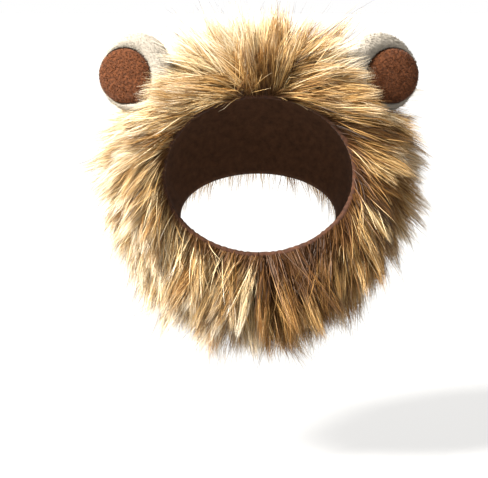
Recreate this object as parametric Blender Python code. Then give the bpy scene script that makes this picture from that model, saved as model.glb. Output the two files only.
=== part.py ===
"""Pet lion mane wig, worn like a bonnet with the face open.

The origin is the crown seat, the inside top of the hood. +Z is up, -Y is the face side and +X is the
side on the right in a view from the front. Lengths are in metres, angles in degrees.
"""

import math
import random

import bmesh
import bpy
from mathutils import Matrix, Vector
from mathutils.bvhtree import BVHTree

# Face opening
OPENING_WIDTH = 0.106
OPENING_HEIGHT = 0.088
FACE_REACH = 0.040  # crown seat forward to the face rim
BROW_DROP = 0.008  # crown seat down to the top of the face rim

# Hood, inside sizes
HOOD_WIDTH = 0.117
HOOD_HEIGHT = 0.104
NAPE_REACH = 0.046  # crown seat back to the nape
NAPE_DROP = 0.062
NECK_WIDTH = 0.092
THROAT_REACH = 0.006
THROAT_DROP = 0.107
CLOTH = 0.0025
CHIN_SLIT = 0.0008

# Hem round the face opening
BINDING_THICK = 0.0042

# Fur
PILE_THICK = 0.0045  # dense pile under the locks
PILE_EDGE = 0.0015  # pile thickness at the face rim and the neck rim
MANE_SETBACK = 0.0015  # face rim back to the front edge of the fur
PARTING = 0.0008  # gap between the two fur halves
LOCK_LENGTH = 0.042
LOCK_SCATTER = 0.10  # share by which lock lengths vary

# Ears
EAR_WIDTH = 0.040
EAR_RISE = 0.049  # from the pile to the tip of the ear
EAR_THICK = 0.011  # back of the cup to the rim
EAR_FOLD = 0.006  # height of the rolled fold in front of the rim
EAR_PAD_WIDTH = 0.030
EAR_PAD_THICK = 0.006
EAR_ANGLE = 47.5  # round the hood from the crown
EAR_STATION = 0.17  # share of the way from the face rim to the neck rim
EAR_YAW = 16.0  # turned outward from straight ahead
EAR_ROLL = 10.0  # tipped sideways, away from the crown

# Chin closure
TAB_WIDTH = 0.024
TAB_THICK = 0.0014
TAB_START = 0.18  # share of the way from the face rim to the neck rim
TAB_END = 0.70

SEWN_GAP = 0.0004  # clearance between pieces that are sewn to each other

# Mesh counts
COLUMNS = 20  # from the crown to the chin on one side
ROWS = 8  # from the face rim to the neck rim
EAR_SIDES = 24
SEAT_ROW = 3  # the crown seat lies on this row

# Hood sections from the face rim to the neck rim, evenly spaced along the hood
HOOD_SECTIONS = (
    # crown_back, crown_down, throat_back, throat_down, half_width
    (-FACE_REACH, BROW_DROP, -FACE_REACH, BROW_DROP + OPENING_HEIGHT, 0.5 * OPENING_WIDTH),
    (-0.31 * FACE_REACH, 0.005 * HOOD_HEIGHT, -0.69 * FACE_REACH, 0.97 * HOOD_HEIGHT, 0.492 * HOOD_WIDTH),
    (0.31 * NAPE_REACH, 0.045 * HOOD_HEIGHT, -0.37 * FACE_REACH, HOOD_HEIGHT, 0.5 * HOOD_WIDTH),
    (0.77 * NAPE_REACH, 0.46 * NAPE_DROP, -0.07 * FACE_REACH, 0.995 * THROAT_DROP, 0.47 * HOOD_WIDTH),
    (NAPE_REACH, NAPE_DROP, THROAT_REACH, THROAT_DROP, 0.5 * NECK_WIDTH),
)

# How the fur is combed, evenly spaced round the hood from the crown to the chin
COMB = (
    # turn_front, turn_behind (degrees from straight out toward the chin), length_share, lean_share
    (84.0, -6.0, 0.88, 1.00),
    (72.0, 26.0, 0.90, 1.00),
    (54.0, 34.0, 0.90, 0.95),
    (42.0, 26.0, 0.88, 0.85),
    (30.0, 22.0, 0.95, 0.70),
    (15.0, 12.0, 1.08, 0.45),
    (0.0, 0.0, 1.18, 0.30),
)

# How the fur changes along the hood, evenly spaced from the face rim to the neck rim
NAP = (
    # lean_back (degrees), length_share
    (-9.0, 0.80),
    (10.0, 1.00),
    (28.0, 0.96),
    (44.0, 0.86),
    (56.0, 0.76),
)
TURN_SPREAD = 0.30  # share of the hood over which the front turn gives way to the turn behind

# Rings of a lock between its root and its point
LOCK_RINGS = (
    # reach_share, width_share
    (0.30, 0.78),
    (0.66, 0.46),
)
LOCK_STIFFNESS = 0.38  # share of the length over which a lock first stands straight up
NUDGE = 0.04  # small step, in radians or in shares of the hood, that finds a direction on it

# Outline of the ear cup, evenly spaced from the tip to the root, as shares of half the ear's width
EAR_OUTLINE = (1.04, 1.04, 1.02, 1.00, 1.00, 1.06, 1.22)
EAR_PAD_OUTLINE = (1.00, 1.00, 1.00, 1.00, 1.02, 1.10, 1.22)  # the same, of half the pad's width
FOLD_AT_TIP = 0.35  # height of the fold at the tip of the ear, as a share of its height at the root
EAR_PAD_OFFSET = 0.22  # shift of the pad toward the tip, as a share of half the ear's width
EAR_PAD_SHIFT = 0.09  # shift of the pad away from the crown, as a share of half the ear's width
EAR_ROOM = 0.7  # share of a lock's half width that stays clear of an ear at the lock's root

# Rings of the ear cup, from the floor under the pad over the rolled fold to the back
CUP_RINGS = (
    # pad_share, cup_share, fold_share, depth_share
    (0.60, 0.00, 0.00, 0.25),
    (1.00, 0.00, 0.00, 0.15),
    (0.90, 0.10, 0.70, 0.00),
    (0.50, 0.50, 1.00, 0.00),
    (0.10, 0.90, 0.45, 0.00),
    (0.00, 1.00, 0.00, 0.15),
    (0.00, 0.86, 0.00, 0.58),
    (0.00, 0.50, 0.00, 0.92),
)

# Rings of the ear pad's front, from its edge to its middle
PAD_RINGS = (
    # width_share, height_share
    (0.97, 0.45),
    (0.75, 0.85),
    (0.40, 0.98),
)


def between(rows, share):
    """Reads a table of evenly spaced rows at a share of its length, along a smooth curve."""
    place = min(max(share, 0.0), 1.0) * (len(rows) - 1)
    first = min(int(place), len(rows) - 2)
    u = place - first
    before, start, end, after = (rows[min(max(first + k, 0), len(rows) - 1)] for k in (-1, 0, 1, 2))
    return tuple(
        0.5 * (2 * s + (e - b) * u + (2 * b - 5 * s + 4 * e - a) * u**2 + (3 * s - b - 3 * e + a) * u**3)
        for b, s, e, a in zip(before, start, end, after)
    )


def section(station):
    """Centre, up direction, half width and half height of the hood's section at a station."""
    crown_back, crown_down, throat_back, throat_down, half_width = between(HOOD_SECTIONS, station)
    crown = Vector((0, crown_back, -crown_down))
    throat = Vector((0, throat_back, -throat_down))
    return (crown + throat) / 2, (crown - throat).normalized(), half_width, (crown - throat).length / 2


def crown_seat():
    """The inside top of the hood, which becomes the origin."""
    centre, up, _, half_height = section(SEAT_ROW / ROWS)
    return centre + up * half_height


def hood_point(angle, station, offset):
    """Point at an angle round the hood, at a station along it, at an offset out from its inside."""
    centre, up, half_width, half_height = section(station)
    across = Vector((1, 0, 0)) * (half_width + offset) * math.sin(angle)
    return centre + across + up * (half_height + offset) * math.cos(angle) - crown_seat()


def edge_angle(gap, station):
    """Angle that half of a gap on the middle line takes up."""
    return math.asin(0.5 * gap / section(station)[2])


def new_object(name, bm, colour, roughness):
    """Turns a closed bmesh into a named object with its own material."""
    bmesh.ops.recalc_face_normals(bm, faces=bm.faces)
    mesh = bpy.data.meshes.new(name)
    bm.to_mesh(mesh)
    bm.free()
    obj = bpy.data.objects.new(name, mesh)
    bpy.context.collection.objects.link(obj)
    finish(obj, colour, roughness)
    return obj


def finish(obj, colour, roughness):
    """Gives an object a material of its own and smooth shading."""
    material = bpy.data.materials.new(obj.name)
    material.use_nodes = True
    shader = material.node_tree.nodes["Principled BSDF"]
    shader.inputs["Base Color"].default_value = (*colour, 1.0)
    shader.inputs["Roughness"].default_value = roughness
    shader.inputs["Metallic"].default_value = 0.0
    obj.data.materials.append(material)
    if obj.type == "MESH":
        obj.data.shade_smooth()


def thick_sheet(bm, inner, outer):
    """Closed body between two grids of points with the same rows and columns. Returns its outer faces."""
    rows, columns = len(inner), len(inner[0])
    below = [[bm.verts.new(point) for point in row] for row in inner]
    above = [[bm.verts.new(point) for point in row] for row in outer]
    faces = []
    for i in range(rows - 1):
        for j in range(columns - 1):
            corners = ((i, j), (i, j + 1), (i + 1, j + 1), (i + 1, j))
            bm.faces.new([below[row][column] for row, column in reversed(corners)])
            faces.append(bm.faces.new([above[row][column] for row, column in corners]))
    border = [(0, j) for j in range(columns)] + [(i, columns - 1) for i in range(1, rows)]
    border += [(rows - 1, j) for j in range(columns - 2, -1, -1)] + [(i, 0) for i in range(rows - 2, 0, -1)]
    for (i, j), (k, m) in zip(border, border[1:] + border[:1]):
        bm.faces.new((below[i][j], below[k][m], above[k][m], above[i][j]))
    bmesh.ops.recalc_face_normals(bm, faces=bm.faces)
    return faces


def make_hood():
    """Cloth hood, open at the face and the neck, slit under the chin."""

    def surface(offset):
        rows = []
        for row in range(ROWS + 1):
            station = row / ROWS
            reach = math.pi - edge_angle(CHIN_SLIT, station)
            columns = range(-COLUMNS, COLUMNS + 1)
            rows.append([hood_point(reach * column / COLUMNS, station, offset) for column in columns])
        return rows

    bm = bmesh.new()
    thick_sheet(bm, surface(0.0), surface(CLOTH))
    return new_object("hood_shell", bm, (0.20, 0.075, 0.03), 0.85)


def make_binding():
    """Rolled hem along the face rim, open at the chin slit."""
    curve = bpy.data.curves.new("face_binding", "CURVE")
    curve.dimensions = "3D"
    curve.bevel_depth = BINDING_THICK / 2
    curve.bevel_resolution = 2
    curve.use_fill_caps = True
    reach = math.pi - edge_angle(CHIN_SLIT, 0.0)
    steps = range(-COLUMNS, COLUMNS + 1)
    spline = curve.splines.new("POLY")
    spline.points.add(len(steps) - 1)
    forward = Vector((0, -(BINDING_THICK / 2 + SEWN_GAP), 0))
    for point, step in zip(spline.points, steps):
        point.co = (*(hood_point(reach * step / COLUMNS, 0.0, CLOTH / 2) + forward), 1.0)
    obj = bpy.data.objects.new("face_binding", curve)
    bpy.context.collection.objects.link(obj)
    finish(obj, (0.17, 0.055, 0.022), 0.8)
    return obj


def tab_lift(angle, station):
    """Height by which the fur backing rides over the chin tab."""
    half_width = section(station)[2]
    beside = max(0.0, abs(half_width * math.sin(angle)) - TAB_WIDTH / 2)
    away = max(0.0, TAB_START - station, station - TAB_END)
    under_chin = math.cos(angle) < 0
    near = max(0.0, 1.0 - beside / (0.5 * TAB_WIDTH)) * max(0.0, 1.0 - away * ROWS / 2)
    return (TAB_THICK + SEWN_GAP) * min(1.0, 2 * near) if under_chin else 0.0


def make_tab():
    """Hook-and-loop tab across the chin slit, on the outside of the hood."""
    steps = 6

    def surface(offset):
        rows = []
        for row in range(steps + 1):
            station = TAB_START + (TAB_END - TAB_START) * row / steps
            reach = edge_angle(TAB_WIDTH, station)
            angles = [math.pi + reach * (2 * column / steps - 1) for column in range(steps + 1)]
            rows.append([hood_point(angle, station, offset) for angle in angles])
        return rows

    bm = bmesh.new()
    inside = CLOTH + SEWN_GAP
    thick_sheet(bm, surface(inside), surface(inside + TAB_THICK))
    return new_object("chin_tab", bm, (0.05, 0.03, 0.02), 0.9)


def pile_station(row):
    """Station of a row of the fur, which starts a little behind the face rim."""
    start = MANE_SETBACK / (FACE_REACH + NAPE_REACH)
    return start + (1.0 - start) * row / ROWS


def pile_point(side, column, row, share):
    """Point in the pile at a share of its thickness, for fractions of columns and rows too."""
    station = pile_station(row)
    first = edge_angle(PARTING, station)
    last = math.pi - first
    angle = side * (first + (last - first) * column / COLUMNS)
    inside = CLOTH + SEWN_GAP + tab_lift(angle, station)
    from_edge = min(1.0, row, ROWS - row)
    thick = PILE_EDGE + (PILE_THICK - PILE_EDGE) * from_edge
    return hood_point(angle, station, inside + thick * share)


def ear_matrix(side):
    """Place of an ear: local Y up, Z facing, from the middle of its outline."""
    root = pile_point(side, COLUMNS * EAR_ANGLE / 180, ROWS * EAR_STATION, 1.0)
    centre = section(EAR_STATION)[0] - crown_seat()
    up = Vector((root.x - centre.x, 0, root.z - centre.z)).normalized()
    yaw = math.radians(EAR_YAW)
    facing = Vector((side * math.sin(yaw), -math.cos(yaw), 0))
    up = Matrix.Rotation(math.radians(side * EAR_ROLL), 3, "Y") @ up
    up = (up - facing * up.dot(facing)).normalized()
    middle = root + up * (EAR_RISE - EAR_OUTLINE[0] * EAR_WIDTH / 2)
    return Matrix.Translation(middle) @ Matrix((up.cross(facing), up, facing)).transposed().to_4x4()


def clear_of_ear(point, margin, in_front):
    """Moves a point of a lock in front of the nearer ear, or behind it, if it lies in the ear's room."""
    place = ear_matrix(1 if point.x > 0 else -1)
    local = place.inverted() @ point
    low = EAR_RISE - EAR_OUTLINE[0] * EAR_WIDTH
    middle = Vector((0, -low / 2, (EAR_FOLD - EAR_THICK) / 2))
    half = Vector((EAR_WIDTH / 2, (EAR_WIDTH + low) / 2, (EAR_THICK + EAR_FOLD) / 2)) * 1.05
    half += Vector((margin, margin, margin))
    off = local - middle
    across = (off.x / half.x) ** 2 + (off.y / half.y) ** 2
    if across >= 1.0:
        return point
    depth = half.z * math.sqrt(1 - across)
    if abs(off.z) >= depth:
        return point
    off.z = depth if in_front else -depth
    return place @ (middle + off)


def directions(side, angle, station):
    """Out of the hood, round it toward the chin and back along it, at one place on it."""
    here = hood_point(angle, station, CLOTH)
    toward_chin = (hood_point(angle + side * NUDGE, station, CLOTH) - here).normalized()
    backward = hood_point(angle, station + NUDGE, CLOTH) - hood_point(angle, station - NUDGE, CLOTH)
    backward.normalize()
    return toward_chin.cross(backward).normalized() * side, toward_chin, backward


def lock_path(side, column, row, scatter):
    """Root of a lock, and its points at the shares of its rings and at its tip."""
    station = pile_station(row)
    turn_front, turn_behind, round_share, lean_share = between(COMB, column / COLUMNS)
    lean, along_share = between(NAP, station)
    blend = min(1.0, station / TURN_SPREAD)
    turn = math.radians(turn_front + (turn_behind - turn_front) * blend * blend * (3 - 2 * blend))
    lean = math.radians(lean * lean_share)
    out, toward_chin, backward = directions(side, side * math.pi * column / COLUMNS, station)
    swept = out * math.cos(turn) + toward_chin * math.sin(turn)
    heading = swept * math.cos(lean) + backward * math.sin(lean)
    length = LOCK_LENGTH * round_share * along_share * (1 + LOCK_SCATTER * scatter)
    root = pile_point(side, column, row, 1.0)
    tip = root + heading * length
    bend = root + out * length * LOCK_STIFFNESS
    shares = [reach for reach, _ in LOCK_RINGS] + [1.0]
    return root, [root * (1 - s) ** 2 + bend * 2 * s * (1 - s) + tip * s * s for s in shares]


def grow_lock(bm, face, side, column, row, scatter):
    """Draws one face of the pile out into a lock that ends in a point, unless an ear sits on it."""
    root, levels = lock_path(side, column, row, scatter)
    corners = [vert.co - root for vert in face.verts]
    half_width = max(corner.length for corner in corners)
    radius = section(pile_station(row))[2]
    in_front = pile_station(row) < 0.6 * EAR_STATION
    low = root.lerp(levels[0], 0.7)
    if clear_of_ear(low, EAR_ROOM * half_width, in_front) != low:
        return
    for (_, width), level in zip(LOCK_RINGS, levels):
        fan = 1 + (level - root).length / radius
        place = clear_of_ear(level, half_width * width * fan, in_front)
        face = bmesh.ops.extrude_discrete_faces(bm, faces=[face])["faces"][0]
        for vert, corner in zip(face.verts, corners):
            vert.co = place + corner * width * fan
    tip = bmesh.ops.poke(bm, faces=[face])["verts"][0]
    tip.co = clear_of_ear(levels[-1], 0.2 * half_width, in_front)


def make_mane(name, side, pile):
    """One half of the fur: a pile pad with its locks fused to it."""
    bm = bmesh.new()
    grids = [
        [[pile_point(side, column, row, share) for column in range(COLUMNS + 1)] for row in range(ROWS + 1)]
        for share in (0.0, 1.0)
    ]
    faces = thick_sheet(bm, *grids)
    pile.append(BVHTree.FromBMesh(bm))
    shuffle = random.Random(11)
    for index, face in enumerate(faces):
        row, column = divmod(index, COLUMNS)
        scatter = shuffle.uniform(-1, 1)
        grow_lock(bm, face, side, column + 0.5, row + 0.5, scatter)
    return new_object(name, bm, (0.55, 0.30, 0.11), 0.75)


def ring_body(bm, rings, first_pole, last_pole):
    """Closed body through rings of points, with a point at either end."""
    loops = [[bm.verts.new(point) for point in ring] for ring in rings]
    count = len(loops[0])
    for pole, loop in ((first_pole, loops[0]), (last_pole, loops[-1])):
        tip = bm.verts.new(pole)
        for k in range(count):
            bm.faces.new((tip, loop[k], loop[(k + 1) % count]))
    for lower, upper in zip(loops, loops[1:]):
        for k in range(count):
            bm.faces.new((lower[k], lower[(k + 1) % count], upper[(k + 1) % count], upper[k]))


def toward(turn):
    """Direction in the plane of the ear at a turn from its tip."""
    return Vector((math.sin(turn), math.cos(turn), 0))


def outline_share(outline, turn):
    """Reads one of the ear's outlines, which are alike on both sides, at a turn from the tip."""
    share = abs((turn + math.pi) % (2 * math.pi) - math.pi) / math.pi
    return between([(radius,) for radius in outline], share)[0]


def cup_edge(turn):
    """Outline point of the ear cup, drawn out toward the root."""
    stretch = 1 + (EAR_RISE / EAR_WIDTH - 1) * max(0.0, -math.cos(turn)) ** 2
    along = Vector((1, stretch, 1)) * outline_share(EAR_OUTLINE, turn) * EAR_WIDTH / 2
    return toward(turn) * along


def fold_height(turn):
    """Height of the cup's rolled fold at a turn from the ear's tip, lowest at the tip."""
    return EAR_FOLD * (FOLD_AT_TIP + (1 - FOLD_AT_TIP) * (0.5 - 0.5 * math.cos(turn)))


def make_ear(prefix, side, pile):
    """Padded ear cup, rolled forward round a pad, and the pad that lies in it."""
    turns = [2 * math.pi * k / EAR_SIDES for k in range(EAR_SIDES)]
    facing = Vector((0, 0, 1))
    centre = Vector((side * EAR_PAD_SHIFT, EAR_PAD_OFFSET, 0)) * EAR_WIDTH / 2

    def pad_edge(turn, width_share, room):
        reach = width_share * outline_share(EAR_PAD_OUTLINE, turn) * EAR_PAD_WIDTH / 2 + room
        return centre + toward(turn) * reach

    def dish_ring(weights, room, lift):
        pad_share, cup_share, fold_share, depth_share = weights
        rest = centre * (1 - pad_share - cup_share)
        ring = []
        for turn in turns:
            rise = fold_share * fold_height(turn) - depth_share * EAR_THICK + lift
            flat = pad_edge(turn, 1.0, room) * pad_share + cup_edge(turn) * cup_share + rest
            ring.append(flat + facing * rise)
        return ring

    place = ear_matrix(side)
    floor = centre - facing * CUP_RINGS[0][3] * EAR_THICK
    bm = bmesh.new()
    rings = [dish_ring(weights, SEWN_GAP, 0.0) for weights in CUP_RINGS]
    ring_body(bm, rings, floor, centre - facing * EAR_THICK)
    seat_on_pile(bm, place, pile)
    cup = new_object(prefix + "_cup", bm, (0.72, 0.56, 0.36), 0.9)
    cup.matrix_world = place

    bm = bmesh.new()
    rings = [dish_ring(weights, 0.0, SEWN_GAP) for weights in CUP_RINGS[:2]]
    for width_share, height_share in PAD_RINGS:
        dome = facing * height_share * EAR_PAD_THICK
        rings.append([pad_edge(turn, width_share, 0.0) + dome for turn in turns])
    ring_body(bm, rings, floor + facing * SEWN_GAP, centre + facing * EAR_PAD_THICK)
    pad = new_object(prefix + "_pad", bm, (0.20, 0.085, 0.035), 0.9)
    pad.matrix_world = place


def seat_on_pile(bm, place, pile):
    """Presses the root of an ear against the pile, so that it lies on it with a sewn gap."""
    home = place.inverted()
    for vert in bm.verts:
        point = place @ vert.co
        found, normal, _, _ = pile.find_nearest(point)
        if (point - found).dot(normal) < SEWN_GAP:
            vert.co = home @ (found + normal * SEWN_GAP)


def build():
    """Makes every piece of the wig."""
    for obj in list(bpy.data.objects):
        bpy.data.objects.remove(obj)
    make_hood()
    make_binding()
    make_tab()
    pile = []
    make_mane("mane_left", -1, pile)
    make_mane("mane_right", 1, pile)
    make_ear("ear_left", -1, pile[0])
    make_ear("ear_right", 1, pile[1])


build()
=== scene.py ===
"""Looks of the pet lion mane wig: combed fur in strands, plush ears, a cloth hood and its rolled hem.

Lengths are in metres and angles in degrees. +Z is up, -Y is the face side, and +X is on the right in a
view from the front. The origin is the crown seat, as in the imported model. Places on the wig are given by
a column, counted round the hood from the crown to the chin, and a row, from the face rim to the neck rim.
"""

import math

import bpy
import numpy as np
from mathutils import Matrix, Vector


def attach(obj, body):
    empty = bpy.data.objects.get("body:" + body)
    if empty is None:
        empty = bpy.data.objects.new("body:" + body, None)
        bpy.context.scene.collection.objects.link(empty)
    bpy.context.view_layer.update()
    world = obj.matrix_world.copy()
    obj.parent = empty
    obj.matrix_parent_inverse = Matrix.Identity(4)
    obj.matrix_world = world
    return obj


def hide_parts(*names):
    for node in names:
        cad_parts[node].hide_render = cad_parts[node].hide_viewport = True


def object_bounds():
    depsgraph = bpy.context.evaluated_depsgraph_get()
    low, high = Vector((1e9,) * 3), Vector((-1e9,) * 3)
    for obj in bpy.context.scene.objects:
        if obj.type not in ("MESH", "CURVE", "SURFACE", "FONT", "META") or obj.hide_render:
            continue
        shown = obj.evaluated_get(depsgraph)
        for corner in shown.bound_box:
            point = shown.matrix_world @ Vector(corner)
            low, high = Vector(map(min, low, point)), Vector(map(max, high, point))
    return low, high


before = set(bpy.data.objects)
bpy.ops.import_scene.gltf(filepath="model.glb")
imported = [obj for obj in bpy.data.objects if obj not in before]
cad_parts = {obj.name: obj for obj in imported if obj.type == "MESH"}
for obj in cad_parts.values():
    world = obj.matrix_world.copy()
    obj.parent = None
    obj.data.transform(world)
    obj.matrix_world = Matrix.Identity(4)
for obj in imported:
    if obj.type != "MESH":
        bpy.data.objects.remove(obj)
cad_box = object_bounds()

# Hood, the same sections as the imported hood
OPENING_WIDTH = 0.106
OPENING_HEIGHT = 0.088
FACE_REACH = 0.040
BROW_DROP = 0.008
HOOD_WIDTH = 0.117
HOOD_HEIGHT = 0.104
NAPE_REACH = 0.046
NAPE_DROP = 0.062
NECK_WIDTH = 0.092
THROAT_REACH = 0.006
THROAT_DROP = 0.107
CLOTH = 0.0025
CLOSED_SLIT = 0.0001  # the tab draws the slit shut
SEWN_GAP = 0.0004
HOOD_SECTIONS = (
    # crown_back, crown_down, throat_back, throat_down, half_width
    (-FACE_REACH, BROW_DROP, -FACE_REACH, BROW_DROP + OPENING_HEIGHT, 0.5 * OPENING_WIDTH),
    (-0.31 * FACE_REACH, 0.005 * HOOD_HEIGHT, -0.69 * FACE_REACH, 0.97 * HOOD_HEIGHT, 0.492 * HOOD_WIDTH),
    (0.31 * NAPE_REACH, 0.045 * HOOD_HEIGHT, -0.37 * FACE_REACH, HOOD_HEIGHT, 0.5 * HOOD_WIDTH),
    (0.77 * NAPE_REACH, 0.46 * NAPE_DROP, -0.07 * FACE_REACH, 0.995 * THROAT_DROP, 0.47 * HOOD_WIDTH),
    (NAPE_REACH, NAPE_DROP, THROAT_REACH, THROAT_DROP, 0.5 * NECK_WIDTH),
)
SEAT_STATION = 3 / 8  # the crown seat's share of the way from the face rim to the neck rim
COLUMNS = 20
ROWS = 8
HALF_ROUND = math.pi * 0.5 * (HOOD_WIDTH + HOOD_HEIGHT) / 2  # from the crown to the chin
FUR_REACH = FACE_REACH + NAPE_REACH + 0.02  # from the face rim to the neck rim
HOOD_GRID = (33, 161)  # rows, columns
WRINKLE = 0.00035
WRINKLE_SIZE = 0.30  # a share of the hood's length
WRINKLE_LIMIT = 0.0006
SEAM_HEIGHT = 0.0004  # of the two soft rolls beside the crown seam
SEAM_DEPTH = 0.0003
HOOD_SEED = 5

# Hem and chin tab
HEM_STEPS = 361
HEM_SIDES = 14
HEM_SLIM = 0.93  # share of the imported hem's thickness
HEM_GATHER = 0.06
HEM_STITCH = 0.05
HEM_STITCHES = 95  # round the whole hem
HEM_SEED = 9
BINDING_THICK = 0.0042
TAB_WIDTH = 0.024
TAB_THICK = 0.0014
TAB_START = 0.18
TAB_END = 0.70

# Fur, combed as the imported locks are
PILE_THICK = 0.0045
PILE_EDGE = 0.0015
MANE_SETBACK = 0.0015
PARTING = 0.0008
LOCK_LENGTH = 0.042
LOCK_STIFFNESS = 0.38
TURN_SPREAD = 0.30
NUDGE = 0.04
COMB = (
    # turn_front, turn_behind (degrees from straight out toward the chin), length_share, lean_share
    (84.0, -6.0, 0.88, 1.00),
    (72.0, 26.0, 0.90, 1.00),
    (54.0, 34.0, 0.90, 0.95),
    (42.0, 26.0, 0.88, 0.85),
    (30.0, 22.0, 0.95, 0.70),
    (15.0, 12.0, 1.08, 0.45),
    (0.0, 0.0, 1.18, 0.30),
)
NAP = (
    # lean_back (degrees), length_share
    (-9.0, 0.80),
    (10.0, 1.00),
    (28.0, 0.96),
    (44.0, 0.86),
    (56.0, 0.76),
)

BACKING_GRID = (33, 81)  # rows, columns
BACKING_SHARE = 0.86  # share of the pile's thickness that the dark backing takes up
BACKING_ROUGH = 0.12
BACKING_SEED = 21

# Tufts of fur
MANE_SEED = 100
TUFT_SPACING = 0.0054  # from the root of one tuft to the next
TUFT_LENGTH = 1.12  # as a share of a packed lock's length
LENGTH_WAVE = 0.09
LENGTH_SCATTER = (-0.22, 0.08)
TURN_WAVE = 14  # degrees
TURN_SCATTER = 8
LEAN_WAVE = 9
LEAN_SCATTER = 6
TUFT_TIGHT = (0.08, 0.62)  # how far a tuft's strands stay apart at its tip
LOCK_PULL = (0.1, 0.75)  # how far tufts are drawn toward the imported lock
LOCK_OFF = 0.35  # share of a tuft's distance from the lock that is left at its tip
PARTING_OVERLAP = 1.1  # columns beside the crown where tufts fan out over the parting
PARTING_FLIP = (-0.55, 1.0)  # from turned to the other side to not turned
SHOULDER_WIDTH = 1.7  # columns
SHOULDER_COLUMN = 3.2  # where the mane stands highest on either side of the crown
HANG_COLUMN = 14.0  # where tufts on the lower sides hang down most
HANG_WIDTH = 3.4  # columns
HANG_TURN = 22.0
CROWN_TRIM = 0.12  # share by which tufts are shorter on the crown
CROWN_WIDTH = 1.6  # columns
SHOULDER_LENGTH = 0.16  # share by which tufts are longer there
CHIN_COLUMN = 13.0  # where the beard under the chin begins
CHIN_ROWS = 2.2
CHIN_TURN_WAVE = 13
CHIN_TURN_SCATTER = 8
CHIN_FAN = 26.0  # how far tufts under the chin fan out from the middle
CHIN_LENGTH = 0.10  # share by which its tufts are longer
WHORL_ROW = 4.6  # behind the crown, where the fur lies down toward the back
WHORL_ROWS = 1.5
WHORL_WIDTH = 0.2  # as a share of the way from the crown to the chin
WHORL_LEAN = 24.0
SPIKE_SHARE = 0.14  # tufts that stand out of the outline
SPIKE_LENGTH = (1.08, 1.28)

# Tufts' colour, from 0, pale, to 1, dark, and shade, which makes them paler toward their tips
# Some of these terms paint light and shade: paler on the left and over the crown, darker on the right and
# toward the chin
DARK_ROWS = 1.3  # rows beside the face opening in which the fur is darker
PAINTED_LIGHT_LEFT_CHEEK = 0.65  # painted light: share by which that darkening is weaker on the left cheek, which the key light falls on
BACK_ROW = 3.0  # where the colour of the back begins
BACK_BLEND = 2.5  # rows over which it comes in
COLOUR_BASE = 0.17
PAINTED_SHADE_CHIN_COLOUR = 0.22  # painted shade: added from the crown to the chin, so the fur is darker toward the bottom
PAINTED_LIGHT_SIDE_COLOUR = 0.15  # painted light: added on the right and taken off on the left, so the left, which the key light falls on, is paler
COLOUR_RIM = 0.30
COLOUR_RIM_CHIN = 0.02
PAINTED_LIGHT_CROWN = 0.14  # painted light: taken off over the crown, so the top is paler
COLOUR_WHORL = 0.10
COLOUR_BACK = 0.26
# painted light: behind, part of the paler left and darker right is taken back off
PAINTED_LIGHT_SIDE_BACK_COLOUR = 0.10
COLOUR_WAVE = 0.30
COLOUR_SCATTER = 0.10
SHADE_BASE = 0.08
# painted shade: tufts toward the chin turn pale later along their length
PAINTED_SHADE_CHIN_TONE = 0.14
# painted light: tufts on the left turn paler sooner along their length, those on the right later
PAINTED_LIGHT_SIDE_TONE = 0.05
SHADE_RIM = 0.09
SHADE_RIM_CHIN = 0.10
SHADE_WAVE = 0.12
SHADE_SCATTER = 0.06
SHADE_BACK = 0.10
# painted light: behind, part of the side term in the tufts' shade is taken back off
PAINTED_LIGHT_SIDE_BACK_TONE = 0.04

# Strands of fur
STRAND_WIDTH = 0.00037
STRAND_LEVELS = np.array((0.0, 0.30, 0.58, 0.82, 1.0))
STRAND_WIDTHS = np.array((0.85, 1.0, 0.86, 0.55))
PALETTE_STEP = 0.003  # half of a fibre's width on the colour map
FLYAWAY_SHARE = 0.06
FLYAWAY_TIGHT = 1.3
SHORTEST_LOSS = 0.60  # of a strand's length
GUARD_LENGTH = (1.0, 1.12)
GUARD_THIN = 0.70
STRAND_THIN = (0.65, 1.15)
STRAND_WAVE = 0.019  # as a share of the tuft's length
STRAND_COLOUR_SCATTER = 0.17
STRAND_COLOUR_SHARE = 0.84  # guard hairs have the rest of the colour map
GUARD_COLOURS = (0.88, 0.98)
TONE_START = (-0.06, 0.08)
TONE_REACH = (0.82, 1.06)
EAR_STRAYS = 0.008  # share of strands before an ear that stay
RIM_STRANDS = 5800  # on each side, from the front of the hem
GUARD_SHARE = 0.035
RIM_LAP = 0.0026  # how far strands may reach over the rim of the face opening
RIM_INNER = -0.0019  # hem's middle out to the innermost strand on it
FACE_ROOM = 0.012  # face rim back to where strands no longer hang into the opening
EAR_SHOWN_SHIFT = 0.0055  # toward the crown, where the soft flap of the ear shows
EAR_PUSH = 0.004  # how far an ear may push a strand aside
EAR_COVERED = -0.0085  # middle of the ear down to where the fur covers it
STRAND_ROOM = 0.0130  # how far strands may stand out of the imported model's box
ROOM_SCATTER = 0.25
BANDS = (
    # name, first_row, last_row, strands
    ("front", 0.0, 2.2, 24000),
    ("middle", 2.2, 4.6, 20500),
    ("back", 4.6, 8.0, 9600),
)

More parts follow.
